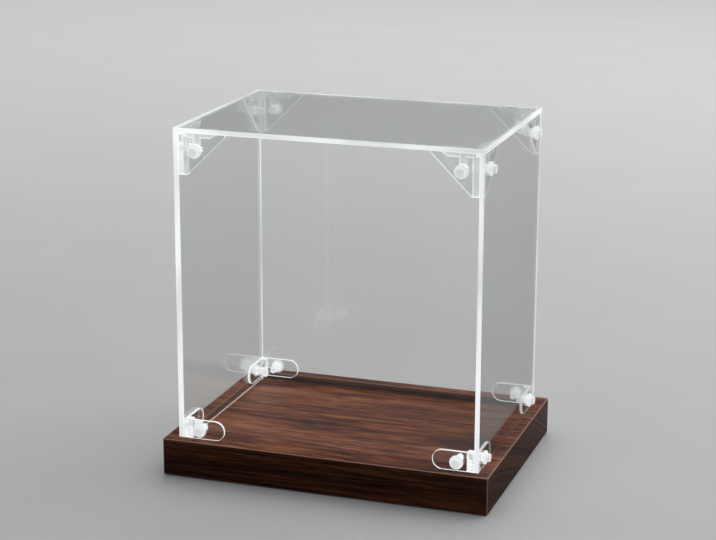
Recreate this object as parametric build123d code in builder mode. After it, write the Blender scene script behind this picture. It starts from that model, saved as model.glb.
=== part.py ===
from build123d import *
import os

# Acrylic display case.
# A lift-off cover of five clear sheets stands in the shallow recess of a walnut base.
# Moulded corner brackets and push rivets hold the sheets together.
# Millimetres, +Z up, origin at the bottom centre, front towards -Y.

# Cover sheets
cover_width = 210.0
cover_depth = 150.0
cover_height = 218.0
sheet_thickness = 3.0

# Walnut base
base_height = 25.0
rim_width = 8.0
recess_depth = 5.5
seat_clearance = 0.5
base_edge_chamfer = 0.8
pad_width = 12.0
pad_height = 1.0
pad_inset = 16.0

# Push rivets and their drive pins
rivet_head_diameter = 9.2
rivet_head_height = 1.2
barrel_side_count = 6
barrel_diameter = 5.5
barb_diameter = 6.3
barb_ramp = 1.4
nose_diameter = 4.8
leg_gap = 0.9
rivet_tail_length = 6.5
pin_width = 2.6
pin_point_chamfer = 0.6
pin_button_diameter = 5.6
pin_button_height = 2.6
hole_clearance = 0.15
bore_clearance = 0.05
rivet_inset = 12.0
rivet_drop = 12.0
rim_to_head_gap = 0.65

# Corner brackets
plate_thickness = 2.0
post_width = 5.6
flange_length = 32.6
flange_height = 28.4
flange_tip_height = 1.7
ledge_length = 27.0
ledge_taper = 5.0
ledge_depth = 4.2
ledge_height = 3.4
rib_width = 4.6
rib_depth = 3.0
rib_to_hole_gap = 0.8
tab_length = 29.0
tab_height = 13.5

# Sizes that follow from the ones above
inner_width = cover_width - 2 * sheet_thickness
inner_depth = cover_depth - 2 * sheet_thickness
wall_height = cover_height - sheet_thickness
recess_width = cover_width + 2 * seat_clearance
recess_length = cover_depth + 2 * seat_clearance
base_width = recess_width + 2 * rim_width
base_depth = recess_length + 2 * rim_width
rim_top = pad_height + base_height
recess_floor = rim_top - recess_depth
wall_top = recess_floor + wall_height
rivet_grip = sheet_thickness + plate_thickness
rivet_length = rivet_grip + rivet_tail_length
rivet_hole_radius = barrel_diameter / 2 + hole_clearance
bore_width = pin_width + 2 * bore_clearance
lower_rivet_height = recess_depth + rim_to_head_gap + rivet_head_diameter / 2
upper_rivet_height = wall_height - rivet_drop

# Outer faces of the four walls, each with its origin at the middle of the wall's foot
front_face = Plane((0, -cover_depth / 2, recess_floor), x_dir=(1, 0, 0), z_dir=(0, -1, 0))
back_face = Plane((0, cover_depth / 2, recess_floor), x_dir=(-1, 0, 0), z_dir=(0, 1, 0))
left_face = Plane((-cover_width / 2, 0, recess_floor), x_dir=(0, -1, 0), z_dir=(-1, 0, 0))
right_face = Plane((cover_width / 2, 0, recess_floor), x_dir=(0, 1, 0), z_dir=(1, 0, 0))

# Each wall: name, outer face, sheet width, rivets' distance from the wall's middle
front_spread = inner_width / 2 - rivet_inset
side_spread = inner_depth / 2 - rivet_inset
walls = (
    ("front", front_face, inner_width, front_spread),
    ("back", back_face, inner_width, front_spread),
    ("left", left_face, cover_depth, side_spread),
    ("right", right_face, cover_depth, side_spread),
)

# Each upright corner of the cover: name, side along X, side along Y, direction of its first flange
corners = (
    ("front_left", -1, -1, (1, 0, 0)),
    ("front_right", 1, -1, (0, 1, 0)),
    ("back_right", 1, 1, (-1, 0, 0)),
    ("back_left", -1, 1, (0, -1, 0)),
)

# The two planes of a bracket's flanges, with the way that points into the cover
flange_planes = ((Plane.XZ, -1), (Plane.YZ, 1))


def save(piece, name):
    """Label a finished piece and write it to its own file."""
    piece.part.label = name
    export_step(piece.part, f"parts/{name}.step")


def make_base_board():
    """Walnut board with eased edges and a shallow recess, which leaves a rim all round."""
    with BuildPart() as board:
        with BuildSketch(Plane.XY.offset(pad_height)):
            Rectangle(base_width, base_depth)
        extrude(amount=base_height)
        upright_edges = board.edges().filter_by(Axis.Z)
        top_edges = board.edges().group_by(Axis.Z)[-1]
        chamfer(upright_edges + top_edges, base_edge_chamfer)
        with BuildSketch(Plane.XY.offset(rim_top)):
            Rectangle(recess_width, recess_length)
        extrude(amount=-recess_depth, mode=Mode.SUBTRACT)
    save(board, "base_board")


def make_pads():
    """Thin square pads near the corners of the board's underside."""
    for name, side_x, side_y, _ in corners:
        centre_x = side_x * (base_width / 2 - pad_inset)
        centre_y = side_y * (base_depth / 2 - pad_inset)
        with BuildPart() as pad:
            with BuildSketch():
                with Locations((centre_x, centre_y)):
                    Rectangle(pad_width, pad_width)
            extrude(amount=pad_height)
        save(pad, f"pad_{name}")


def rivet_places(spread):
    """Centres of a wall's four rivets, across the wall and up from its foot."""
    heights = (lower_rivet_height, upper_rivet_height)
    return [(side * spread, height) for height in heights for side in (-1, 1)]


def make_walls():
    """Four upright sheets, drilled for the rivets. The side walls run past the front and back ones."""
    for name, outer_face, width, spread in walls:
        with BuildPart() as wall:
            with BuildSketch(outer_face):
                Rectangle(width, wall_height, align=(Align.CENTER, Align.MIN))
                with Locations(*rivet_places(spread)):
                    Circle(rivet_hole_radius, mode=Mode.SUBTRACT)
            extrude(amount=-sheet_thickness)
        save(wall, f"{name}_panel")


def make_top_panel():
    """Top sheet, flush with the outer faces of the four walls that it lies on."""
    with BuildPart() as top:
        with BuildSketch(Plane.XY.offset(wall_top)):
            Rectangle(cover_width, cover_depth)
        extrude(amount=sheet_thickness)
    save(top, "top_panel")


def make_top_bracket_form():
    """Top corner moulding. Its origin is the inner corner under the top sheet.

    Two triangular flanges lie on the walls and meet in a square post. A tapered ledge under the top
    sheet runs along both, and a rib ties it to each flange above the rivet hole.
    """
    rib_bottom = rivet_drop - rivet_hole_radius - rib_to_hole_gap
    with BuildPart() as bracket:
        with BuildSketch():
            Rectangle(post_width, post_width, align=Align.MIN)
        extrude(amount=-flange_height)
        for flange_plane, inwards in flange_planes:
            with BuildSketch(flange_plane):
                with BuildLine():
                    Polyline(
                        (0, 0),
                        (flange_length, 0),
                        (flange_length, -flange_tip_height),
                        (post_width, -flange_height),
                        (0, -flange_height),
                        close=True,
                    )
                make_face()
            extrude(amount=inwards * plate_thickness)
            with BuildSketch(flange_plane):
                with BuildLine():
                    Polyline(
                        (0, 0),
                        (ledge_length, 0),
                        (ledge_length - ledge_taper, -ledge_height),
                        (0, -ledge_height),
                        close=True,
                    )
                make_face()
            extrude(amount=inwards * ledge_depth)
            with BuildSketch(flange_plane):
                with Locations((rivet_inset, 0)):
                    Rectangle(rib_width, rib_bottom, align=(Align.CENTER, Align.MAX))
            extrude(amount=inwards * (plate_thickness + rib_depth))
            with BuildSketch(flange_plane):
                with Locations((rivet_inset, -rivet_drop)):
                    Circle(rivet_hole_radius)
            extrude(amount=inwards * plate_thickness, mode=Mode.SUBTRACT)
    return bracket.part


def make_bottom_bracket_form():
    """Bottom corner moulding, with round-ended tabs. Its origin is the inner corner, level with the rivets."""
    end_radius = tab_height / 2
    with BuildPart() as bracket:
        with BuildSketch(Plane.XY.offset(-end_radius)):
            Rectangle(post_width, post_width, align=Align.MIN)
        extrude(amount=tab_height)
        for flange_plane, inwards in flange_planes:
            with BuildSketch(flange_plane):
                Rectangle(tab_length - end_radius, tab_height, align=(Align.MIN, Align.CENTER))
                with Locations((tab_length - end_radius, 0)):
                    Circle(end_radius)
            extrude(amount=inwards * plate_thickness)
            with BuildSketch(flange_plane):
                with Locations((rivet_inset, 0)):
                    Circle(rivet_hole_radius)
            extrude(amount=inwards * plate_thickness, mode=Mode.SUBTRACT)
    return bracket.part


def make_rivet_form():
    """Push rivet. Its head lies on the sheet's outer face at Z 0, and its barrel points to -Z.

    The barrel is six-sided. Past the bracket's plate it is split into two barbed legs round a square bore.
    """
    barb_start = rivet_grip + hole_clearance
    barrel_sections = (
        (0, barrel_diameter),
        (barb_start, barrel_diameter),
        (barb_start + barb_ramp, barb_diameter),
        (rivet_length, nose_diameter),
    )
    with BuildPart() as rivet:
        for depth, diameter in barrel_sections:
            with BuildSketch(Plane.XY.offset(-depth)):
                RegularPolygon(diameter / 2, barrel_side_count)
        loft(ruled=True)
        with BuildSketch():
            Circle(rivet_head_diameter / 2)
        extrude(amount=rivet_head_height)
        with BuildSketch(Plane.XY.offset(-rivet_length)):
            Rectangle(bore_width, bore_width)
        extrude(amount=rivet_length + rivet_head_height, mode=Mode.SUBTRACT)
        with BuildSketch(Plane.XY.offset(-rivet_length)):
            Rectangle(barb_diameter, leg_gap)
        extrude(amount=rivet_tail_length, mode=Mode.SUBTRACT)
    return rivet.part


def make_pin_form():
    """Drive pin, pushed home: its round button lies on the rivet's head and its stem fills the bore."""
    with BuildPart() as pin:
        with BuildSketch(Plane.XY.offset(rivet_head_height)):
            Rectangle(pin_width, pin_width)
        extrude(amount=-(rivet_head_height + rivet_length))
        chamfer(pin.edges().group_by(Axis.Z)[0], pin_point_chamfer)
        with BuildSketch(Plane.XY.offset(rivet_head_height)):
            Circle(pin_button_diameter / 2)
        extrude(amount=pin_button_height)
    return pin.part


def place_brackets(form, kind, height):
    """One moulding serves all four corners at its height, turned a quarter turn at each."""
    for name, side_x, side_y, first_flange in corners:
        corner = (side_x * inner_width / 2, side_y * inner_depth / 2, height)
        with BuildPart(Plane(corner, x_dir=first_flange, z_dir=(0, 0, 1))) as bracket:
            add(form)
        save(bracket, f"{kind}_bracket_{name}")


def place_fasteners(form, kind):
    """One fastener at each rivet hole, square to the wall. A wall's four are one group of separate solids."""
    for name, outer_face, _, spread in walls:
        with BuildPart(outer_face) as group:
            with Locations(*rivet_places(spread)):
                add(form)
        save(group, f"{name}_{kind}")


os.makedirs("parts", exist_ok=True)
make_base_board()
make_pads()
make_walls()
make_top_panel()
place_brackets(make_top_bracket_form(), "top", wall_top)
place_brackets(make_bottom_bracket_form(), "bottom", recess_floor + lower_rivet_height)
place_fasteners(make_rivet_form(), "rivets")
place_fasteners(make_pin_form(), "pins")
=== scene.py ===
# %% [markdown]
# # A clear display case on a walnut base
#
# The case is a box-shaped cover of five clear acrylic sheets. It stands in the shallow recess of a walnut
# board and lifts straight up. Inside, each corner has a clear moulded bracket at the top and one at the
# bottom, and two-part push rivets with round heads hold the brackets to the sheets.
#
# The solids of the case come in as a fixed frame, at their real size. This file gives every piece its
# finished surface: eased edges, polished acrylic, milky plastic and oiled walnut. Lengths are in metres,
# apart from the sensor of the camera, which Blender takes in millimetres.

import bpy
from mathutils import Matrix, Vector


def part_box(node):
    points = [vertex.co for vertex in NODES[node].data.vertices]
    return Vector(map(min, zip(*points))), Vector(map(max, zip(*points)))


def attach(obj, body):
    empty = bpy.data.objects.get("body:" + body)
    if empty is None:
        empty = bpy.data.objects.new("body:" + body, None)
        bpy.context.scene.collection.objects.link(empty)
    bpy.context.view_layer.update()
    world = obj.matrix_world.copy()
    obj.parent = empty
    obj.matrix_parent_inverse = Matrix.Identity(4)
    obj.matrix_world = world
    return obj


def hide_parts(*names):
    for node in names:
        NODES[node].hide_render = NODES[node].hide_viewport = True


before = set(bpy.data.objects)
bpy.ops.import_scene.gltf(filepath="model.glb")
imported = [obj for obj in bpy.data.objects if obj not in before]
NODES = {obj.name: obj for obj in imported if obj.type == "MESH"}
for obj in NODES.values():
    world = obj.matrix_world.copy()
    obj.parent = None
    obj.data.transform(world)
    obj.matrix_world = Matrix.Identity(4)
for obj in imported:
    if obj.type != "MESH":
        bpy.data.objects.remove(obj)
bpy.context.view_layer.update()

# %% The rest of the tools
import math

import bpy
from mathutils import Euler, Matrix, Vector

CORNER_NAMES = ("front_left", "front_right", "back_right", "back_left")
WALL_NAMES = ("front", "back", "left", "right")

# %% [markdown]
# ## The camera
#
# A camera is a point, a direction and a lens. It could be moved by eye until the case looks right, but then
# some corners are always a little off. So the three were worked out from the straight edges of the case, and
# its corners fall where they should in the frame. The place is measured from the middle of the board's
# underside. The view looks down on the case, from in front and to the right.

# %% Camera
PICTURE_WIDTH = 716
FOCAL_PIXELS = 1951.6
SENSOR_WIDTH = 36.0
CAMERA_PLACE = Vector((0.4079, -1.2172, 0.4847))
CAMERA_TURN = math.radians(18.646)
CAMERA_TILT = math.radians(15.380)
CAMERA_ROLL = math.radians(0.18)


def add_camera():
    """The camera, aimed by its turn about Z, its tilt below the horizon and a slight roll."""
    data = bpy.data.cameras.new("camera")
    data.sensor_width = SENSOR_WIDTH
    data.lens = FOCAL_PIXELS / PICTURE_WIDTH * SENSOR_WIDTH
    camera = bpy.data.objects.new("camera", data)
    bpy.context.scene.collection.objects.link(camera)
    aim = Euler((math.pi / 2 - CAMERA_TILT, 0, CAMERA_TURN)).to_matrix()
    camera.rotation_euler = (aim @ Matrix.Rotation(CAMERA_ROLL, 3, "Z")).to_euler()
    board_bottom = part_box("base_board")[0].z
    camera.location = CAMERA_PLACE + Vector((0, 0, board_bottom))
    bpy.context.scene.camera = camera
    return camera


camera = add_camera()
print("lens:", round(camera.data.lens, 2), "mm")

# %% [markdown]
# ## Floor and light
#
# Clear plastic has no colour of its own. It shows by what it mirrors and by its edges, so the floor is a
# light grey and not white: white edges still stand out against it. One large soft lamp hangs above and
# behind, as a window would, so the top surfaces are bright and the front of the board stays dark. A weak lamp
# on each side is large too, so that the sheets mirror it as a soft cloud and not as a hard white square.
#
# A pale floor would throw a lot of light back at the board's front. So the floor and the world are pale only
# for the rays that show them: those from the camera, through glass, or mirrored. What a surface mirrors is a
# good deal dimmer than what is seen straight, or a pale veil would lie on the wood. Matt bounces meet a
# darker pair too, and the floor still shows the shadow of the case. Away from the case, where the lamps reach
# less, the floor glows a little for the same rays, so it stays pale all the way.

# %% Small helpers for shader trees
def new_material(name):
    """A material with an empty node tree."""
    material = bpy.data.materials.new(name)
    material.use_nodes = True
    material.node_tree.nodes.clear()
    return material


def add_node(tree, kind, **settings):
    """A node with its plain settings."""
    node = tree.nodes.new(kind)
    for name, value in settings.items():
        setattr(node, name, value)
    return node


def set_inputs(node, **values):
    """Set a node's own sockets. An underscore in a name stands for a space."""
    for name, value in values.items():
        node.inputs[name.replace("_", " ")].default_value = value
    return node


def end_tree(tree, shader):
    """Send a shader to the material's output."""
    output = add_node(tree, "ShaderNodeOutputMaterial")
    tree.links.new(shader, output.inputs["Surface"])


def grey(value):
    """A neutral colour."""
    return (value, value, value, 1.0)


def add_math(tree, operation, first, second=None, third=None):
    """A math node that takes sockets or numbers."""
    node = add_node(tree, "ShaderNodeMath", operation=operation)
    for place, value in enumerate((first, second, third)):
        if value is None:
            continue
        if isinstance(value, (int, float)):
            node.inputs[place].default_value = value
        else:
            tree.links.new(value, node.inputs[place])
    return node.outputs[0]


def add_range(tree, value, low, high, to_low=0.0, to_high=1.0, curve="LINEAR"):
    """Map a value from one range to another, and clamp it."""
    node = add_node(tree, "ShaderNodeMapRange", interpolation_type=curve)
    set_inputs(node, From_Min=low, From_Max=high, To_Min=to_low, To_Max=to_high)
    tree.links.new(value, node.inputs["Value"])
    return node.outputs["Result"]


# %% Rays that show the surround
MIRRORED_SHARE = 0.16


def showing_rays(tree):
    """1 for the rays that show the surround, less once they were mirrored, and 0 after a matt bounce."""
    path = add_node(tree, "ShaderNodeLightPath")
    seen = add_math(tree, "MAXIMUM", path.outputs["Is Camera Ray"], path.outputs["Is Transmission Ray"])
    shown = add_math(tree, "MAXIMUM", seen, path.outputs["Is Glossy Ray"])
    mirrored = add_math(tree, "GREATER_THAN", path.outputs["Glossy Depth"], 0.5)
    share = add_math(tree, "MULTIPLY_ADD", mirrored, MIRRORED_SHARE - 1.0, 1.0)
    before_bounce = add_math(tree, "LESS_THAN", path.outputs["Diffuse Depth"], 0.5)
    return add_math(tree, "MULTIPLY", add_math(tree, "MULTIPLY", shown, share), before_bounce)


# %% Floor
FLOOR_SIZE = 30.0
FLOOR_SHOWN = 0.53
FLOOR_BOUNCE = 0.16
FAR_GLOW = 0.33
GLOW_END = 2.6
MOTTLE = (0.98, 1.02)
# Where most of a noise texture's values lie
NOISE_SPAN = (0.3, 0.7)


def floor_material():
    """A plain matt floor. Very faint mottling keeps the grey from looking like paper."""
    material = new_material("studio_floor")
    tree = material.node_tree
    place = add_node(tree, "ShaderNodeTexCoord").outputs["Object"]
    noise = set_inputs(add_node(tree, "ShaderNodeTexNoise"), Scale=9.0, Detail=4.0)
    distance = add_node(tree, "ShaderNodeVectorMath", operation="LENGTH")
    tree.links.new(place, noise.inputs["Vector"])
    tree.links.new(place, distance.inputs[0])
    shown = showing_rays(tree)
    level = add_math(tree, "MULTIPLY_ADD", shown, FLOOR_SHOWN - FLOOR_BOUNCE, FLOOR_BOUNCE)
    mottle = add_range(tree, noise.outputs["Fac"], *NOISE_SPAN, *MOTTLE)
    paper = add_math(tree, "MULTIPLY", level, mottle)
    glow = add_range(tree, distance.outputs["Value"], 0.0, GLOW_END, 0.0, FAR_GLOW, "SMOOTHSTEP")
    surface = add_node(tree, "ShaderNodeBsdfPrincipled")
    set_inputs(surface, Roughness=0.6, Emission_Color=grey(1.0))
    tree.links.new(paper, surface.inputs["Base Color"])
    tree.links.new(add_math(tree, "MULTIPLY", glow, shown), surface.inputs["Emission Strength"])
    end_tree(tree, surface.outputs["BSDF"])
    return material


bpy.ops.object.select_all(action="DESELECT")
bpy.ops.mesh.primitive_plane_add(size=FLOOR_SIZE)
floor = bpy.context.object
floor.name = "studio_floor"
floor.data.materials.append(floor_material())
print("floor:", FLOOR_SIZE, "m wide")

# %% Lamps
CASE_MIDDLE = Vector((0, 0, 0.12))
# Each lamp: name, place, size and power in watts
LAMPS = (
    ("key_lamp", (0.3, 0.85, 1.8), 2.6, 34.0),
    ("left_lamp", (-1.8, -0.3, 1.0), 1.8, 4.0),
    ("right_lamp", (1.7, 1.0, 1.05), 1.8, 6.0),
)


def add_soft_lamp(name, place, size, power):
    """A square soft lamp that faces the middle of the case."""
    data = bpy.data.lights.new(name, "AREA")
    data.shape = "SQUARE"
    data.size = size
    data.energy = power
    lamp = bpy.data.objects.new(name, data)
    lamp.location = place
    lamp.rotation_euler = (CASE_MIDDLE - Vector(place)).to_track_quat("-Z", "Y").to_euler()
    bpy.context.scene.collection.objects.link(lamp)
    print(name, "is", size, "m wide and gives", power, "W")


for lamp_values in LAMPS:
    add_soft_lamp(*lamp_values)

# %% World
WORLD_LIGHT = 0.25
WORLD_SHOWN = 0.49
WORLD_COLOUR = (0.96, 0.98, 1.0, 1.0)


def light_world():
    """An even, slightly cool surround that looks paler than the light it gives."""
    world = bpy.data.worlds.new("studio")
    world.use_nodes = True
    tree = world.node_tree
    background = tree.nodes["Background"]
    background.inputs["Color"].default_value = WORLD_COLOUR
    strength = add_math(tree, "MULTIPLY_ADD", showing_rays(tree), WORLD_SHOWN - WORLD_LIGHT, WORLD_LIGHT)
    tree.links.new(strength, background.inputs["Strength"])
    bpy.context.scene.world = world


light_world()
bpy.context.scene.view_settings.view_transform = "Standard"
print("world:", bpy.context.scene.world.name)

# %% [markdown]
# ## Effects as node groups
#
# An effect that several finishes need is best built once, as a node group, or each copy of it has to be
# changed on its own. Handling haze is the faint uneven film that fingers and cloths leave on polished
# plastic. Bright streaks are painted light: the uneven brightness that a cut and polished acrylic edge shows
# when light leaves the sheet there. The plastics share these two between them. Eased edge finds the narrow
# rounded strips between two flat faces, by how far the surface leans away from all three axes. Here only the
# wood needs it, for the painted highlight on its edges.

# %% Helpers for node groups
def new_group(name, inputs, outputs):
    """A shader node group. Each socket is a (name, kind, value) or, for an output, a (name, kind)."""
    group = bpy.data.node_groups.new(name, "ShaderNodeTree")
    for label, kind, value in inputs:
        socket = group.interface.new_socket(label, in_out="INPUT", socket_type="NodeSocket" + kind)
        if value is not None:
            socket.default_value = value
    for label, kind in outputs:
        group.interface.new_socket(label, in_out="OUTPUT", socket_type="NodeSocket" + kind)
    entry = add_node(group, "NodeGroupInput")
    leave = add_node(group, "NodeGroupOutput")
    return group, entry, leave


def use_group(tree, group, **values):
    """Place a group in a material, with its own values."""
    node = add_node(tree, "ShaderNodeGroup", node_tree=group)
    return set_inputs(node, **values)


def add_mix(tree, factor, first, second, blend="MIX"):
    """A colour mix that takes sockets or colours."""
    node = add_node(tree, "ShaderNodeMix", data_type="RGBA", blend_type=blend)
    # The node has sockets for every kind of data. Inputs 6 and 7 and output 2 are its colours.
    for socket, value in ((node.inputs[0], factor), (node.inputs[6], first), (node.inputs[7], second)):
        if isinstance(value, (int, float, tuple)):
            socket.default_value = value
        else:
            tree.links.new(value, socket)
    return node.outputs[2]


def add_noise(tree, vector, scale, detail, distortion=0.0):
    """A noise texture on a stretched vector. The scale is three numbers or a socket."""
    stretch = add_node(tree, "ShaderNodeMapping")
    if isinstance(scale, tuple):
        stretch.inputs["Scale"].default_value = scale
    else:
        tree.links.new(scale, stretch.inputs["Scale"])
    noise = set_inputs(add_node(tree, "ShaderNodeTexNoise"), Scale=1.0, Detail=detail, Distortion=distortion)
    tree.links.new(vector, stretch.inputs["Vector"])
    tree.links.new(stretch.outputs["Vector"], noise.inputs["Vector"])
    return noise.outputs["Fac"]


# %% Handling haze
CLOUDY = (22, 22, 14)
WIPED = (150, 150, 18)
HAZE_SPAN = (0.16, 0.42)


def build_haze_group():
    """Roughness that varies a little over a polished face."""
    group, entry, leave = new_group(
        "handling_haze",
        [("Vector", "Vector", None), ("Least", "Float", 0.0), ("Most", "Float", 0.05)],
        [("Roughness", "Float")],
    )
    cloudy = add_noise(group, entry.outputs["Vector"], CLOUDY, detail=3.0, distortion=0.4)
    wiped = add_noise(group, entry.outputs["Vector"], WIPED, detail=2.0, distortion=0.2)
    amount = add_range(group, add_math(group, "MULTIPLY", cloudy, wiped), *HAZE_SPAN)
    span = add_math(group, "SUBTRACT", entry.outputs["Most"], entry.outputs["Least"])
    roughness = add_math(group, "MULTIPLY_ADD", amount, span, entry.outputs["Least"])
    group.links.new(roughness, leave.inputs["Roughness"])
    return group


haze_group = build_haze_group()
print("group:", haze_group.name)

# %% Bright streaks
SOFT_BANDS = (16, 16, 16)
EVERY_WAY = (900, 900, 900)
LINE_SHARE = 0.7
STREAK_SPAN = (0.62, 1.06)


def build_streak_group():
    """Brightness of a cut edge: long soft bands, with finer lines that Lines stretches one way."""
    group, entry, leave = new_group(
        "bright_streaks",
        [
            ("Vector", "Vector", None),
            ("Lines", "Vector", EVERY_WAY),
            ("Dark", "Float", 0.5),
            ("Bright", "Float", 1.0),
        ],
        [("Level", "Float"), ("Height", "Float")],
    )
    bands = add_noise(group, entry.outputs["Vector"], SOFT_BANDS, detail=2.0)
    lines = add_noise(group, entry.outputs["Vector"], entry.outputs["Lines"], detail=2.0)
    amount = add_range(group, add_math(group, "MULTIPLY_ADD", lines, LINE_SHARE, bands), *STREAK_SPAN)
    span = add_math(group, "SUBTRACT", entry.outputs["Bright"], entry.outputs["Dark"])
    level = add_math(group, "MULTIPLY_ADD", amount, span, entry.outputs["Dark"])
    group.links.new(level, leave.inputs["Level"])
    group.links.new(lines, leave.inputs["Height"])
    return group


streak_group = build_streak_group()
print("group:", streak_group.name)

# %% Eased edge
# The largest share that a normal has of any axis, on a flat face and well inside a rounded strip
FLAT_LEAN = 0.995
EDGE_LEAN = 0.9


def build_edge_group():
    """1 on a rounded edge strip and 0 on the flat faces beside it."""
    group, entry, leave = new_group("eased_edge", [("Normal", "Vector", None)], [("Mask", "Float")])
    split = add_node(group, "ShaderNodeSeparateXYZ")
    group.links.new(entry.outputs["Normal"], split.inputs[0])
    sides = [add_math(group, "ABSOLUTE", split.outputs[axis]) for axis in range(3)]
    widest = add_math(group, "MAXIMUM", add_math(group, "MAXIMUM", sides[0], sides[1]), sides[2])
    group.links.new(add_range(group, widest, FLAT_LEAN, EDGE_LEAN), leave.inputs["Mask"])
    return group


edge_group = build_edge_group()
print("group:", edge_group.name)

# %% [markdown]
# ## Clear plastics
#
# Acrylic lets light straight through, bends it, and mirrors a little, more at a slant. A Principled shader
# with full transmission does all of that. Lamps are a special case: a renderer finds little lamp light
# through glass, so a Light Path node lets the lamps' rays pass as if the sheet weren't there.
#
# A sheet's cut edge is the brightest thing on it, because light travels inside the sheet and leaves at the
# edge. A renderer stops following it after a few bounces and shows a black edge instead. So the edges have a
# satin white finish of their own, and a good part of it is a painted glow that stands in for that light. A
# saw leaves fine lines that run along an edge, so each edge finish is made for the way that its sheet is
# thin. The feet of the side sheets stand on the wood, so the brown light that they pick up from it is painted
# into theirs as a dimmer, browner glow.

# %% Clear plastic with polished faces
ACRYLIC_IOR = 1.49


def let_lamps_through(tree, surface, share):
    """Mix in a clear shader for the rays that run to the lamps, and end the tree."""
    path = add_node(tree, "ShaderNodeLightPath")
    clear = set_inputs(add_node(tree, "ShaderNodeBsdfTransparent"), Color=grey(share))
    mix = add_node(tree, "ShaderNodeMixShader")
    tree.links.new(path.outputs["Is Shadow Ray"], mix.inputs[0])
    tree.links.new(surface.outputs["BSDF"], mix.inputs[1])
    tree.links.new(clear.outputs["BSDF"], mix.inputs[2])
    end_tree(tree, mix.outputs["Shader"])


def clear_plastic(name, colour, haze, lamp_share):
    """Polished clear plastic. The haze is the roughness where the film on it is thickest."""
    material = new_material(name)
    tree = material.node_tree
    place = add_node(tree, "ShaderNodeTexCoord").outputs["Object"]
    film = use_group(tree, haze_group, Most=haze)
    surface = add_node(tree, "ShaderNodeBsdfPrincipled")
    set_inputs(surface, Base_Color=colour, Transmission_Weight=1.0, IOR=ACRYLIC_IOR)
    tree.links.new(place, film.inputs["Vector"])
    tree.links.new(film.outputs["Roughness"], surface.inputs["Roughness"])
    let_lamps_through(tree, surface, lamp_share)
    return material


sheet_face = clear_plastic("acrylic_face", (0.985, 0.995, 0.99, 1), haze=0.035, lamp_share=0.93)
bracket_face = clear_plastic("moulded_face", (0.97, 0.98, 0.98, 1), haze=0.05, lamp_share=0.85)
print("clear:", sheet_face.name, bracket_face.name)

# %% Shader of a bright edge
def colour_by_level(tree, level, surface, body, light):
    """Dim a surface's body colour and its glow together, by a level from 0 to 1."""
    tree.links.new(add_mix(tree, level, grey(0.0), body), surface.inputs["Base Color"])
    tree.links.new(add_mix(tree, level, grey(0.0), light), surface.inputs["Emission Color"])


def add_bump(tree, surface, height, strength, depth):
    """Make a surface look uneven by a height that varies over it."""
    bump = set_inputs(add_node(tree, "ShaderNodeBump"), Strength=strength, Distance=depth)
    tree.links.new(height, bump.inputs["Height"])
    tree.links.new(bump.outputs["Normal"], surface.inputs["Normal"])


def bright_edge(name, body, light, dark, glow, lines):
    """A satin edge with a painted glow in soft streaks. Its body colour is what the lamps light."""
    material = new_material(name)
    tree = material.node_tree
    place = add_node(tree, "ShaderNodeTexCoord").outputs["Object"]
    streaks = use_group(tree, streak_group, Dark=dark, Lines=lines)
    surface = add_node(tree, "ShaderNodeBsdfPrincipled")
    set_inputs(surface, Roughness=0.28, IOR=ACRYLIC_IOR, Emission_Strength=glow)
    tree.links.new(place, streaks.inputs["Vector"])
    colour_by_level(tree, streaks.outputs["Level"], surface, body, light)
    add_bump(tree, surface, streaks.outputs["Height"], strength=0.15, depth=0.00005)
    end_tree(tree, surface.outputs["BSDF"])
    return material


# %% Bright edges
ALONG_EDGE = 12
ACROSS_EDGE = 1100
EDGE_BODY = (0.26, 0.27, 0.28, 1)
EDGE_LIGHT = (0.97, 0.985, 1.0, 1)
# The feet's body colour and glow are tinted brown: painted light that they pick up from the wood
FOOT_BODY = (0.50, 0.42, 0.38, 1)
FOOT_LIGHT = (1.0, 0.84, 0.76, 1)
RIM_BODY = (0.22, 0.23, 0.23, 1)
RIM_LIGHT = (0.97, 0.985, 0.99, 1)


def saw_lines(thin):
    """Lines that run along the edges of a sheet that is thin along one axis."""
    return tuple(ACROSS_EDGE if axis == thin else ALONG_EDGE for axis in range(3))


# Painted glow on the cut edges, for the light that leaves them
sheet_edges = [
    bright_edge("acrylic_edge_" + axis, EDGE_BODY, EDGE_LIGHT, dark=0.66, glow=0.92, lines=saw_lines(thin))
    for thin, axis in enumerate("xyz")
]
# Painted light: the feet of the side sheets glow dimmer and browner, for the light that they pick up from the
# wood
foot_glow = bright_edge("acrylic_glow_foot", FOOT_BODY, FOOT_LIGHT, dark=0.70, glow=0.45, lines=saw_lines(0))
bracket_rim = bright_edge("moulded_edge", RIM_BODY, RIM_LIGHT, dark=0.86, glow=0.86, lines=EVERY_WAY)
print("bright:", [edge.name for edge in sheet_edges], foot_glow.name, bracket_rim.name)

# %% [markdown]
# ## Milky plastics
#
# The rivets and the thick parts of the brackets look milky, because light scatters inside them. Subsurface
# scattering would show that, but in parts of a few millimetres it is slow and stays noisy. So the shader is
# part clear and part white, and a soft glow stands for the light that has wandered about inside.

# %% Milky plastic
MILK = (0.95, 0.97, 0.965, 1)
MILK_DARK = 0.86
MILK_LAMP_SHARE = 0.6
SMOOTHER = 0.7
ROUGHER = 1.4


def milky_plastic(name, body, clear_share, roughness, glow):
    """Moulded plastic that light soaks into: part clear, part white, with a little glow."""
    material = new_material(name)
    tree = material.node_tree
    place = add_node(tree, "ShaderNodeTexCoord").outputs["Object"]
    streaks = use_group(tree, streak_group, Dark=MILK_DARK)
    film = use_group(tree, haze_group, Least=roughness * SMOOTHER, Most=roughness * ROUGHER)
    surface = add_node(tree, "ShaderNodeBsdfPrincipled")
    set_inputs(surface, IOR=ACRYLIC_IOR, Transmission_Weight=clear_share, Emission_Strength=glow)
    tree.links.new(place, streaks.inputs["Vector"])
    tree.links.new(place, film.inputs["Vector"])
    tree.links.new(film.outputs["Roughness"], surface.inputs["Roughness"])
    colour_by_level(tree, streaks.outputs["Level"], surface, body, MILK)
    let_lamps_through(tree, surface, MILK_LAMP_SHARE)
    return material


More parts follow.
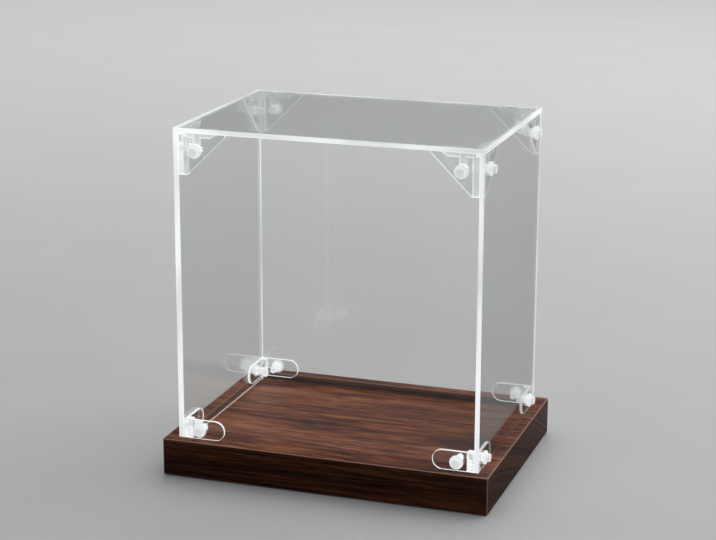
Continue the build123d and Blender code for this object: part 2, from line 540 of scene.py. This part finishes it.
HEAD_BODY = (0.34, 0.35, 0.35, 1)
BARREL_BODY = (0.44, 0.45, 0.45, 1)
PIN_BODY = (0.36, 0.37, 0.37, 1)
MOULDED_BODY = (0.52, 0.54, 0.54, 1)
head_plastic = milky_plastic("rivet_plastic", HEAD_BODY, clear_share=0.05, roughness=0.3, glow=0.72)
barrel_plastic = milky_plastic("rivet_barrel", BARREL_BODY, clear_share=0.25, roughness=0.25, glow=0.56)
pin_plastic = milky_plastic("pin_plastic", PIN_BODY, clear_share=0.08, roughness=0.18, glow=0.58)
bracket_milk = milky_plastic("moulded_milk", MOULDED_BODY, clear_share=0.45, roughness=0.2, glow=0.40)
print("milky:", [plastic.name for plastic in (head_plastic, barrel_plastic, pin_plastic, bracket_milk)])

# %% [markdown]
# ## Walnut
#
# Walnut is dark brown wood with reddish and nearly black streaks. A flat pattern could be laid on each face,
# but it would break off at the edges. So the pattern is solid, as in a real board, and runs on from one face
# to the next: growth rings lie round a line far below and a little in front of the board, and everything is
# stretched along X, the way the tree grew. Open pores are short dark dashes on the long faces and dots on the
# ends. The upright faces are darkened with painted shade, as the lamp above lights them less than the top,
# and the eased edges are lightened with a painted highlight.

# %% Grain pattern
RING_CENTRE_Y = -0.20
RING_CENTRE_Z = -0.50
SWAY_DEPTH = 0.004
# Features per metre along X, Y and Z
SWAY = (5, 12, 12)
FIBRES = (90, 2600, 2600)
PORES = (95, 1500, 1500)
# Features per metre along the grain and across the rings. The third direction is empty.
YEARS = (4, 130, 1)
STREAKS = (18, 600, 1)
FINE_LINES = (70, 2000, 1)
YEAR_WEIGHT = 0.6
STREAK_WEIGHT = 0.8
LINE_WEIGHT = 0.6


def add_ring_place(group, place):
    """A point's place along the grain and its distance from the rings' middle, with a gentle sway."""
    split = add_node(group, "ShaderNodeSeparateXYZ")
    group.links.new(place, split.inputs[0])
    from_y = add_math(group, "SUBTRACT", split.outputs["Y"], RING_CENTRE_Y)
    from_z = add_math(group, "SUBTRACT", split.outputs["Z"], RING_CENTRE_Z)
    y_squared = add_math(group, "POWER", from_y, 2.0)
    z_squared = add_math(group, "POWER", from_z, 2.0)
    distance = add_math(group, "SQRT", add_math(group, "ADD", y_squared, z_squared))
    sway = add_noise(group, place, SWAY, detail=2.0)
    ring_place = add_node(group, "ShaderNodeCombineXYZ")
    group.links.new(split.outputs["X"], ring_place.inputs[0])
    group.links.new(add_math(group, "MULTIPLY_ADD", sway, SWAY_DEPTH, distance), ring_place.inputs[1])
    return ring_place.outputs[0]


def add_tone(group, ring_place):
    """How light the wood is, 1 on average: year bands, streaks and fine lines added up."""
    years = add_noise(group, ring_place, YEARS, detail=2.0)
    streaks = add_noise(group, ring_place, STREAKS, detail=3.0)
    lines = add_noise(group, ring_place, FINE_LINES, detail=3.0)
    finest = add_math(group, "MULTIPLY", lines, LINE_WEIGHT)
    finer = add_math(group, "MULTIPLY_ADD", streaks, STREAK_WEIGHT, finest)
    return add_math(group, "MULTIPLY_ADD", years, YEAR_WEIGHT, finer)


# %% Wood grain
DARK_TONE = 0.84
DULL_TONE = 0.85
BROWN_TONE = 1.0
LIGHT_TONE = 1.2
FIBRE_SHADE = (0.86, 1.12)
PORE_SPAN = (0.64, 0.72)
PORE_STRENGTH = 0.65


def build_grain_group():
    """Colour, height and shine of straight-grained walnut."""
    group, entry, leave = new_group(
        "walnut_grain",
        [
            ("Vector", "Vector", None),
            ("Dark", "Color", None),
            ("Brown", "Color", None),
            ("Light", "Color", None),
        ],
        [("Color", "Color"), ("Height", "Float"), ("Shine", "Float")],
    )
    place = entry.outputs["Vector"]
    dark = entry.outputs["Dark"]
    tone = add_tone(group, add_ring_place(group, place))
    fibres = add_noise(group, place, FIBRES, detail=2.0)
    pores = add_range(group, add_noise(group, place, PORES, detail=1.0), *PORE_SPAN)

    brown = add_mix(group, add_range(group, tone, DARK_TONE, BROWN_TONE), dark, entry.outputs["Brown"])
    figured = add_mix(group, add_range(group, tone, BROWN_TONE, LIGHT_TONE), brown, entry.outputs["Light"])
    fibre_shade = add_range(group, fibres, *NOISE_SPAN, *FIBRE_SHADE)
    fibred = add_mix(group, 1.0, figured, fibre_shade, "MULTIPLY")
    pored = add_mix(group, add_math(group, "MULTIPLY", pores, PORE_STRENGTH), fibred, dark)
    group.links.new(pored, leave.inputs["Color"])
    group.links.new(add_math(group, "SUBTRACT", fibres, pores), leave.inputs["Height"])
    group.links.new(add_range(group, tone, DULL_TONE, LIGHT_TONE), leave.inputs["Shine"])
    return group


grain_group = build_grain_group()
print("group:", grain_group.name)

# %% Oiled walnut
GRAIN_DARK = (0.034, 0.010, 0.005, 1)
GRAIN_BROWN = (0.128, 0.033, 0.012, 1)
GRAIN_LIGHT = (0.29, 0.098, 0.039, 1)
END_GRAIN = (0.07, 0.036, 0.030, 1)
END_GRAIN_SHARE = 0.35
EDGE_HIGHLIGHT = (0.50, 0.29, 0.21, 1)
EDGE_HIGHLIGHT_SHARE = 0.75
UPRIGHT_PAINTED_SHADE = 0.5
DULL_ROUGHNESS = 0.52
SHINY_ROUGHNESS = 0.38
# A normal's share of X where end grain begins and is full, and of Z where the painted shade begins and is
# full
END_LEAN = (0.6, 0.95)
UPRIGHT_LEAN = (0.85, 0.35)


def oiled_walnut():
    """Satin walnut. Its eased edges get a painted highlight, and its upright faces a painted shade."""
    material = new_material("oiled_walnut")
    tree = material.node_tree
    coordinates = add_node(tree, "ShaderNodeTexCoord")
    grain = use_group(tree, grain_group, Dark=GRAIN_DARK, Brown=GRAIN_BROWN, Light=GRAIN_LIGHT)
    edge = use_group(tree, edge_group)
    split = add_node(tree, "ShaderNodeSeparateXYZ")
    tree.links.new(coordinates.outputs["Object"], grain.inputs["Vector"])
    tree.links.new(coordinates.outputs["Normal"], edge.inputs["Normal"])
    tree.links.new(coordinates.outputs["Normal"], split.inputs[0])

    end_face = add_range(tree, add_math(tree, "ABSOLUTE", split.outputs["X"]), *END_LEAN)
    upright = add_range(tree, add_math(tree, "ABSOLUTE", split.outputs["Z"]), *UPRIGHT_LEAN)
    # Painted shade: the upright faces are darkened, as the lamp above lights them less than the top
    shaded_uprights = add_mix(tree, upright, grain.outputs["Color"], grey(UPRIGHT_PAINTED_SHADE), "MULTIPLY")
    ends = add_mix(tree, add_math(tree, "MULTIPLY", end_face, END_GRAIN_SHARE), shaded_uprights, END_GRAIN)
    # Painted highlight: the eased edges are lightened, where they catch the light
    highlight_mask = add_math(tree, "MULTIPLY", edge.outputs["Mask"], EDGE_HIGHLIGHT_SHARE)
    roughness = add_range(tree, grain.outputs["Shine"], 0.0, 1.0, DULL_ROUGHNESS, SHINY_ROUGHNESS)

    surface = add_node(tree, "ShaderNodeBsdfPrincipled")
    set_inputs(surface, Specular_IOR_Level=0.04, Coat_Weight=0.16, Coat_Roughness=0.14)
    tree.links.new(add_mix(tree, highlight_mask, ends, EDGE_HIGHLIGHT), surface.inputs["Base Color"])
    tree.links.new(roughness, surface.inputs["Roughness"])
    add_bump(tree, surface, grain.outputs["Height"], strength=0.35, depth=0.00012)
    end_tree(tree, surface.outputs["BSDF"])
    return material


walnut = oiled_walnut()
print("wood:", walnut.name)

# %% [markdown]
# ## Helpers for modelling
#
# An operator works on whatever is selected, so each step clears the selection first and then picks faces or
# edges by their place. A new block is a cube primitive stretched between two corners, and a new rod is a
# cylinder between two heights. Pieces are joined and cut with a Boolean modifier, which is applied at once.

# %% Selecting
# Two places closer than this count as one
NEAR = 0.00005
# A face whose normal has at least this share of an axis faces along it
FACING = 0.99


def select_only(piece):
    """Make one object the only selected one, in object mode."""
    bpy.ops.object.select_all(action="DESELECT")
    piece.select_set(True)
    bpy.context.view_layer.objects.active = piece


def clear_picks(piece, by_edge):
    """Deselect all of a piece's mesh, and pick by edges or else by faces from now on."""
    select_only(piece)
    bpy.context.tool_settings.mesh_select_mode = (False, by_edge, not by_edge)
    bpy.ops.object.mode_set(mode="EDIT")
    bpy.ops.mesh.select_all(action="DESELECT")
    bpy.ops.object.mode_set(mode="OBJECT")


def pick_faces(piece, wanted):
    """Enter edit mode with only the wanted faces selected."""
    clear_picks(piece, by_edge=False)
    for face in piece.data.polygons:
        face.select = wanted(face)
    bpy.ops.object.mode_set(mode="EDIT")


def pick_edges(piece, wanted):
    """Enter edit mode with only the wanted edges selected. The test gets an edge's two end points."""
    clear_picks(piece, by_edge=True)
    points = piece.data.vertices
    for edge in piece.data.edges:
        edge.select = wanted(*(points[v].co for v in edge.vertices))
    bpy.ops.object.mode_set(mode="EDIT")


def leave_edit():
    """Back to object mode."""
    bpy.ops.object.mode_set(mode="OBJECT")


def faces_up(face):
    """Whether a face looks straight up."""
    return face.normal.z > FACING


# %% Blocks and rods
def keep_place_in_mesh(piece):
    """Move an object's place and size into its mesh, which leaves the object at the origin."""
    bpy.ops.object.transform_apply(location=True, rotation=True, scale=True)
    return piece


def add_block(name, low, high):
    """A box between two corners."""
    low, high = Vector(low), Vector(high)
    bpy.ops.object.select_all(action="DESELECT")
    bpy.ops.mesh.primitive_cube_add(size=1, location=(low + high) / 2)
    block = bpy.context.object
    block.name = name
    block.data.name = name
    block.scale = high - low
    return keep_place_in_mesh(block)


def add_rod(sides, radius, low, high):
    """An upright cylinder round the Z axis, between two heights."""
    bpy.ops.object.select_all(action="DESELECT")
    middle = (0, 0, (low + high) / 2)
    bpy.ops.mesh.primitive_cylinder_add(vertices=sides, radius=radius, depth=high - low, location=middle)
    return keep_place_in_mesh(bpy.context.object)


# %% Joining and copying
def apply_modifier(piece, kind, **settings):
    """Add a modifier, set it and apply it."""
    select_only(piece)
    modifier = piece.modifiers.new(kind.lower(), kind)
    for name, value in settings.items():
        setattr(modifier, name, value)
    bpy.ops.object.modifier_apply(modifier=modifier.name)


def combine(piece, tool, operation):
    """Join a tool to a piece or cut it out, and delete the tool."""
    apply_modifier(piece, "BOOLEAN", object=tool, operation=operation, solver="EXACT")
    bpy.data.objects.remove(tool)


def copy_piece(original, name):
    """A copy with its own mesh."""
    piece = original.copy()
    piece.data = original.data.copy()
    piece.name = name
    piece.data.name = name
    bpy.context.scene.collection.objects.link(piece)
    return piece


# %% Finishing a piece
SHARP_ANGLE = math.radians(30)


def smooth(piece):
    """Smooth shading that keeps the sharp edges."""
    select_only(piece)
    bpy.ops.object.shade_smooth_by_angle(angle=SHARP_ANGLE)


def set_materials(piece, *materials):
    """Give a piece its materials, in slot order."""
    piece.data.materials.clear()
    for material in materials:
        piece.data.materials.append(material)


def place_piece(piece, body, node):
    """Attach a finished piece to the body that it rides on, and hide the solid that it stands for."""
    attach(piece, body)
    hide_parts(node)


# %% [markdown]
# ## The walnut board
#
# The board is one thick piece of walnut with a shallow recess cut into its top. A smaller block could be cut
# out of it with a Boolean, but an inset keeps the faces of the rim in one clean ring. So the board starts as
# a block, and its top face is inset by the width of the rim and pushed down, as a router would cut it. Then
# the outer edges and the edge of the recess get a narrow round, the way a sanding block leaves them.

# %% Board
EDGE_ROUND = 0.0008


def measure_recess():
    """The recess's floor height and how far it reaches along X and Y, read from the solid."""
    floor_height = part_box("front_panel")[0].z
    points = [v.co for v in NODES["base_board"].data.vertices if abs(v.co.z - floor_height) < NEAR]
    return floor_height, max(p.x for p in points), max(p.y for p in points)


def round_edges(piece, wanted, width, segments):
    """Round the wanted edges of a piece over."""
    pick_edges(piece, wanted)
    bpy.ops.mesh.bevel(offset=width, segments=segments)
    leave_edit()


def make_board():
    """Block, recess and rounded edges."""
    low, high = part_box("base_board")
    floor_height, reach_x, reach_y = measure_recess()

    def on_outside(a, b):
        """The four upright edges and the four round the top."""
        at_corners = [abs(abs(p.x) - high.x) < NEAR and abs(abs(p.y) - high.y) < NEAR for p in (a, b)]
        return all(at_corners) and max(a.z, b.z) > high.z - NEAR

    def on_recess(a, b):
        """The four edges round the mouth of the recess."""
        inside = [abs(p.x) < reach_x + NEAR and abs(p.y) < reach_y + NEAR for p in (a, b)]
        return all(inside) and all(abs(p.z - high.z) < NEAR for p in (a, b))

    board = add_block("walnut_board", low, high)
    pick_faces(board, faces_up)
    bpy.ops.mesh.inset(thickness=high.x - reach_x, use_even_offset=True)
    bpy.ops.mesh.extrude_region_move(TRANSFORM_OT_translate={"value": (0, 0, floor_height - high.z)})
    leave_edit()
    round_edges(board, on_outside, EDGE_ROUND, segments=4)
    round_edges(board, on_recess, EDGE_ROUND, segments=2)
    set_materials(board, walnut)
    smooth(board)
    place_piece(board, "base", "base_board")
    return board


board = make_board()
print("board:", len(board.data.polygons), "faces")

# %% [markdown]
# ## The pads
#
# Four thin rubber pads keep the board off the shelf, so that it neither slides nor scratches. They hide under
# the board and show as a dark gap at most. New ones could be modelled, but the solids have the right shape
# already, so they stay and only get a material: black rubber with a fine pitted skin.

# %% Pads
PITS = (2500, 2500, 2500)
RUBBER_DARK = 0.012
RUBBER_LIGHT = 0.035


def pad_rubber():
    """Matt black rubber with a fine pitted skin."""
    material = new_material("pad_rubber")
    tree = material.node_tree
    pits = add_noise(tree, add_node(tree, "ShaderNodeTexCoord").outputs["Object"], PITS, detail=2.0)
    surface = set_inputs(add_node(tree, "ShaderNodeBsdfPrincipled"), Roughness=0.85)
    tone = add_mix(tree, pits, grey(RUBBER_DARK), grey(RUBBER_LIGHT))
    tree.links.new(tone, surface.inputs["Base Color"])
    add_bump(tree, surface, pits, strength=0.5, depth=0.0001)
    end_tree(tree, surface.outputs["BSDF"])
    return material


rubber = pad_rubber()
for corner in CORNER_NAMES:
    pad = NODES["pad_" + corner]
    for slot in pad.material_slots:
        slot.material = rubber
print("pads:", len(CORNER_NAMES), "of", rubber.name)

# %% [markdown]
# ## The clear sheets
#
# Each sheet is a block cut from 3 mm acrylic. A rivet hole could be faked by a ring in the material, but the
# wall of a real hole catches the light, so round cutters take the holes out of each wall with a Boolean. A
# narrow bevel breaks the edges. The two large faces get the polished finish, and the cut edges and the walls
# of the holes get the bright one, with its painted glow. The feet differ, because they stand on dark wood:
# those of the side sheets get a dimmer glow, painted brown for the light that they pick up from the wood, and
# those of the front and back stay clear.
#
# Two clear faces must never lie in exactly the same place, or the light can't tell which it meets first and
# the pair turns black. So every sheet is a few hundredths of a millimetre short of what it touches.

# %% Rivet places
RIVET_HEAD_RADIUS = 0.0046
OUTWARDS = {
    "front": Vector((0, -1, 0)),
    "back": Vector((0, 1, 0)),
    "left": Vector((-1, 0, 0)),
    "right": Vector((1, 0, 0)),
}


def rivet_places(wall):
    """The four points where a wall's rivets cross its outer face, read from the solids."""
    low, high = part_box(wall + "_rivets")
    panel_low, panel_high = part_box(wall + "_panel")
    across = 1 if wall in ("left", "right") else 0
    depth = 1 - across
    outer = panel_high[depth] if OUTWARDS[wall][depth] > 0 else panel_low[depth]
    places = []
    for height in (low.z + RIVET_HEAD_RADIUS, high.z - RIVET_HEAD_RADIUS):
        for along in (low[across] + RIVET_HEAD_RADIUS, high[across] - RIVET_HEAD_RADIUS):
            place = Vector((0, 0, height))
            place[across] = along
            place[depth] = outer
            places.append(place)
    return places


print("front rivets at:", [[round(v, 4) for v in p] for p in rivet_places("front")])

# %% Sheets
HOLE_RADIUS = 0.0029
SHEET_EDGE_BREAK = 0.0002
SEAT_GAP = 0.00004
FOOT_HEIGHT = 0.001
CUTTER_SIDES = 64
CUTTER_LENGTH = 0.02


def drill(sheet, wall):
    """Cut the rivet holes of a wall."""
    turn = OUTWARDS[wall].to_track_quat("Z", "Y").to_matrix().to_4x4()
    for place in rivet_places(wall):
        cutter = add_rod(CUTTER_SIDES, HOLE_RADIUS, -CUTTER_LENGTH / 2, CUTTER_LENGTH / 2)
        cutter.data.transform(Matrix.Translation(place) @ turn)
        combine(sheet, cutter, "DIFFERENCE")


def make_sheet(side):
    """One clear sheet of the cover, in its solid's place."""
    node = side + "_panel"
    low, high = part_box(node)
    thin = min(range(3), key=lambda axis: (high - low)[axis])
    gap = Vector([0 if axis == thin else SEAT_GAP for axis in range(3)])
    sheet = add_block("clear_" + side + "_sheet", low + gap, high - gap)
    if side != "top":
        drill(sheet, side)
    apply_modifier(sheet, "BEVEL", width=SHEET_EDGE_BREAK, segments=2, limit_method="ANGLE")
    polished, bright, brown_glow = range(3)
    set_materials(sheet, sheet_face, sheet_edges[thin], foot_glow)
    for face in sheet.data.polygons:
        if abs(face.normal[thin]) > FACING:
            face.material_index = polished
        # The feet of the side sheets get the painted brown glow; those of the front and back stay clear
        elif side != "top" and face.center.z < low.z + FOOT_HEIGHT:
            face.material_index = brown_glow if side in ("left", "right") else polished
        else:
            face.material_index = bright
    place_piece(sheet, "cover", node)
    return sheet


sheets = [make_sheet(side) for side in ("top",) + WALL_NAMES]
print("sheets:", {s.name: len(s.data.polygons) for s in sheets})

# %% [markdown]
# ## The corner brackets
#
# The brackets are injection moulded: thin flanges that lie on the sheets, a square post in the corner, and at
# the top a ledge that the top sheet rests on. Their solids already have the true shape, so there is no need
# to model them again. The front left one is copied, its flat triangles are dissolved into whole faces, and
# every edge gets the small round that a mould leaves. The bottom bracket's post is also slotted, which leaves
# bars across the corner, like the rungs of a ladder. One bracket of each kind is then copied to the four
# corners, a quarter turn more at each.
#
# Three finishes show how a clear moulding carries light. The large faces are clear. The rims and the rounds
# are bright with a painted glow, as the edges of the sheets are. The post, the ledges and the ribs are thick,
# so the faces that look into the case are milky.

# %% Bracket helpers
CORNER_SIDES = {"front_left": (-1, -1), "front_right": (1, -1), "back_right": (1, 1), "back_left": (-1, 1)}
MERGE_WITHIN = 0.00001
FLAT_WITHIN = math.radians(0.5)


def join_faces(piece):
    """Merge doubled points and dissolve flat triangles into whole faces."""
    select_only(piece)
    bpy.ops.object.mode_set(mode="EDIT")
    bpy.ops.mesh.select_all(action="SELECT")
    bpy.ops.mesh.remove_doubles(threshold=MERGE_WITHIN)
    bpy.ops.mesh.dissolve_limited(angle_limit=FLAT_WITHIN)
    leave_edit()


def tidy_copy(name, node):
    """A free copy of a solid, with its triangles joined into whole faces."""
    piece = copy_piece(NODES[node], name)
    # Drop all that ties the solid to its body, so that the copy counts as a new piece
    piece.parent = None
    for key in list(piece.keys()):
        del piece[key]
    join_faces(piece)
    return piece


def inner_corner(corner):
    """Where the inner faces of a corner's two walls meet, as a point at height zero."""
    side_x, side_y = CORNER_SIDES[corner]
    return Vector((side_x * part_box("right_panel")[0].x, side_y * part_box("back_panel")[0].y, 0))


# %% Slots in the post
PLATE_THICKNESS = 0.002
POST_WIDTH = 0.0056
SLOT_HEIGHT = 0.0011
SLOT_PITCH = 0.0024
FIRST_SLOT = 0.0014
SLOT_COUNT = 3


def cut_post_slots(bracket):
    """Cut level slots across the post, from its inner faces back to the flanges."""
    lowest = min(v.co.z for v in bracket.data.vertices)
    outside = POST_WIDTH + SLOT_HEIGHT
    for number in range(SLOT_COUNT):
        bottom = lowest + FIRST_SLOT + number * SLOT_PITCH
        low = (PLATE_THICKNESS, PLATE_THICKNESS, bottom)
        combine(bracket, add_block("cutter", low, (outside, outside, bottom + SLOT_HEIGHT)), "DIFFERENCE")
    join_faces(bracket)


# %% One bracket of each kind
MOULD_ROUND = 0.0005
MOULD_GAP = 0.00006
# A flange's large faces are nearer to the wall than this
PLATE_DEPTH = 0.0022
# A face that looks along a flange is its rim if it is further from the corner than this
RIM_REACH = 0.02
# A level face that is nearer to the top sheet than this touches it
TOP_REACH = 0.001
CLEAR = 0
BRIGHT = 1
MILKY = 2


def pick_finish(face, top_height):
    """Clear for a flange's large faces, bright with a painted glow for a rim, and milky for a face of a thick
    part.
    """
    for axis in (0, 1):
        if abs(face.normal[axis]) > FACING:
            if face.center[axis] < PLATE_DEPTH:
                return CLEAR
            return BRIGHT if face.center[axis] > RIM_REACH else MILKY
    against_top = faces_up(face) and face.center.z > top_height - TOP_REACH
    return CLEAR if against_top else BRIGHT


def model_bracket(level):
    """A bracket with bright rounded edges. The corner of the case that it fits is moved to X 0, Y 0."""
    bracket = tidy_copy(level + "_bracket", level + "_bracket_front_left")
    bracket.data.transform(Matrix.Translation(-inner_corner("front_left")))
    if level == "bottom":
        cut_post_slots(bracket)
    hair = Vector((MOULD_GAP, MOULD_GAP, -MOULD_GAP if level == "top" else 0))
    bracket.data.transform(Matrix.Translation(hair))
    set_materials(bracket, bracket_face, bracket_rim, bracket_milk)
    top_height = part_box("top_panel")[0].z
    for face in bracket.data.polygons:
        face.material_index = pick_finish(face, top_height)
    smooth(bracket)
    apply_modifier(
        bracket,
        "BEVEL",
        width=MOULD_ROUND,
        segments=3,
        limit_method="ANGLE",
        material=BRIGHT,
        harden_normals=True,
    )
    print(level, "bracket:", len(bracket.data.polygons), "faces")
    return bracket


bracket_forms = {level: model_bracket(level) for level in ("top", "bottom")}

# %% Eight brackets
def copy_to_corners(level, form):
    """Copy a bracket to the four corners, a quarter turn more at each."""
    for quarter, corner in enumerate(CORNER_NAMES):
        node = level + "_bracket_" + corner
        piece = copy_piece(form, "moulded_" + node)
        turn = Matrix.Rotation(quarter * math.pi / 2, 4, "Z")
        piece.data.transform(Matrix.Translation(inner_corner(corner)) @ turn)
        place_piece(piece, "cover", node)
    bpy.data.objects.remove(form)


for level, form in bracket_forms.items():
    copy_to_corners(level, form)
print("brackets:", len(bracket_forms) * len(CORNER_NAMES))

# %% [markdown]
# ## The push rivets
#
# A push rivet is two mouldings. The rivet has a flat round head and a barrel that is split into two barbed
# legs. The drive pin is pushed in through the head and spreads the legs, and its round button stays outside.
# Here the legs are drawn unspread, as their solids are.
#
# The barrel is six-sided, so it starts as a cylinder with six sides, and not as a turned profile. Its lowest
# face is extruded and scaled twice, for the barb and the nose. The head is joined on, and the bore and the
# split are cut. One rivet is modelled at the origin, pointing along Z with the sheet's outer face at zero.

# %% Rivet head
HEAD_HEIGHT = 0.0012
HEAD_ROUND = 0.4 * HEAD_HEIGHT


def model_head():
    """The rivet's round head, with its rim rounded over."""
    head = add_rod(CUTTER_SIDES, RIVET_HEAD_RADIUS, SEAT_GAP, HEAD_HEIGHT)
    round_edges(head, lambda a, b: min(a.z, b.z) > HEAD_HEIGHT - NEAR, HEAD_ROUND, segments=4)
    return head


# %% One rivet
BARREL_SIDES = 6
BARREL_RADIUS = 0.00275
BARB_RADIUS = 0.00315
NOSE_RADIUS = 0.0024
GRIP_LENGTH = 0.00515
BARB_RAMP = 0.0014
BARREL_LENGTH = 0.0115
SPLIT_START = 0.005
LEG_GAP = 0.0009
BORE_WIDTH = 0.0027


def grow(piece, length, factor):
    """Extrude the lowest face down by a length, and scale its far end."""
    bottom = min(v.co.z for v in piece.data.vertices)
    pick_faces(piece, lambda face: face.normal.z < -FACING and abs(face.center.z - bottom) < NEAR)
    bpy.ops.mesh.extrude_region_move(TRANSFORM_OT_translate={"value": (0, 0, -length)})
    bpy.ops.transform.resize(value=(factor, factor, 1))
    leave_edit()


def model_rivet():
    """Barbed barrel, head, bore and split."""
    rivet = add_rod(BARREL_SIDES, BARREL_RADIUS, -GRIP_LENGTH, HEAD_HEIGHT / 2)
    grow(rivet, BARB_RAMP, BARB_RADIUS / BARREL_RADIUS)
    grow(rivet, BARREL_LENGTH - GRIP_LENGTH - BARB_RAMP, NOSE_RADIUS / BARB_RADIUS)
    combine(rivet, model_head(), "UNION")
    half = BORE_WIDTH / 2
    bore = add_block("bore", (-half, -half, -CUTTER_LENGTH), (half, half, CUTTER_LENGTH))
    combine(rivet, bore, "DIFFERENCE")
    reach = CUTTER_LENGTH / 2
    split = add_block("split", (-reach, -LEG_GAP / 2, -CUTTER_LENGTH), (reach, LEG_GAP / 2, -SPLIT_START))
    combine(rivet, split, "DIFFERENCE")
    set_materials(rivet, head_plastic, barrel_plastic)
    for face in rivet.data.polygons:
        face.material_index = 1 if face.center.z < 0 else 0
    smooth(rivet)
    return rivet


rivet_form = model_rivet()
print("rivet:", len(rivet_form.data.polygons), "faces")

# %% [markdown]
# ## The drive pins
#
# The pin is one moulding too: a square stem that fills the rivet's bore, and a round button to push it home.
# A turned profile would give the button but not the stem. So the stem is a block with a tapered point, the
# button is a cylinder with a dimple in its top and a rounded rim, and a Boolean joins the two.
#
# One rivet and one pin are then copied to the sixteen holes, each copy with its own mesh.

# %% One drive pin
PIN_WIDTH = 0.0026
POINT_TAPER = 0.0006
BUTTON_SIDES = 48
BUTTON_RADIUS = 0.0028
BUTTON_HEIGHT = 0.0026
BUTTON_ROUND = 0.00035
DIMPLE_INSET = 0.28 * BUTTON_RADIUS
DIMPLE_DEPTH = 0.0003
DIMPLE_TAPER = 0.88


def model_button():
    """Round button with a dimple in its top and a rounded rim."""
    top = HEAD_HEIGHT + BUTTON_HEIGHT
    button = add_rod(BUTTON_SIDES, BUTTON_RADIUS, HEAD_HEIGHT + SEAT_GAP, top)
    pick_faces(button, faces_up)
    bpy.ops.mesh.inset(thickness=DIMPLE_INSET)
    bpy.ops.mesh.extrude_region_move(TRANSFORM_OT_translate={"value": (0, 0, -DIMPLE_DEPTH)})
    bpy.ops.transform.resize(value=(DIMPLE_TAPER, DIMPLE_TAPER, 1))
    leave_edit()

    def on_rim(a, b):
        outer = min(a.xy.length, b.xy.length) > BUTTON_RADIUS - DIMPLE_INSET / 2
        return outer and min(a.z, b.z) > top - NEAR

    round_edges(button, on_rim, BUTTON_ROUND, segments=4)
    return button


def model_pin():
    """Square stem with a tapered point, and its button."""
    half = PIN_WIDTH / 2
    stem_top = HEAD_HEIGHT + BUTTON_HEIGHT / 2
    pin = add_block("pin", (-half, -half, POINT_TAPER - BARREL_LENGTH), (half, half, stem_top))
    grow(pin, POINT_TAPER, 1 - 2 * POINT_TAPER / PIN_WIDTH)
    combine(pin, model_button(), "UNION")
    set_materials(pin, pin_plastic)
    smooth(pin)
    return pin


pin_form = model_pin()
print("pin:", len(pin_form.data.polygons), "faces")

# %% Sixteen of each
def copy_to_holes(form, kind):
    """Copy a fastener to every rivet hole, turned to face outwards."""
    for wall in WALL_NAMES:
        turn = OUTWARDS[wall].to_track_quat("Z", "Y").to_matrix().to_4x4()
        for number, place in enumerate(rivet_places(wall), 1):
            piece = copy_piece(form, f"{wall}_{kind}_{number}")
            piece.data.transform(Matrix.Translation(place) @ turn)
            place_piece(piece, "cover", f"{wall}_{kind}s")
    bpy.data.objects.remove(form)


copy_to_holes(rivet_form, "rivet")
copy_to_holes(pin_form, "pin")
print("holes filled:", sum(len(rivet_places(wall)) for wall in WALL_NAMES))
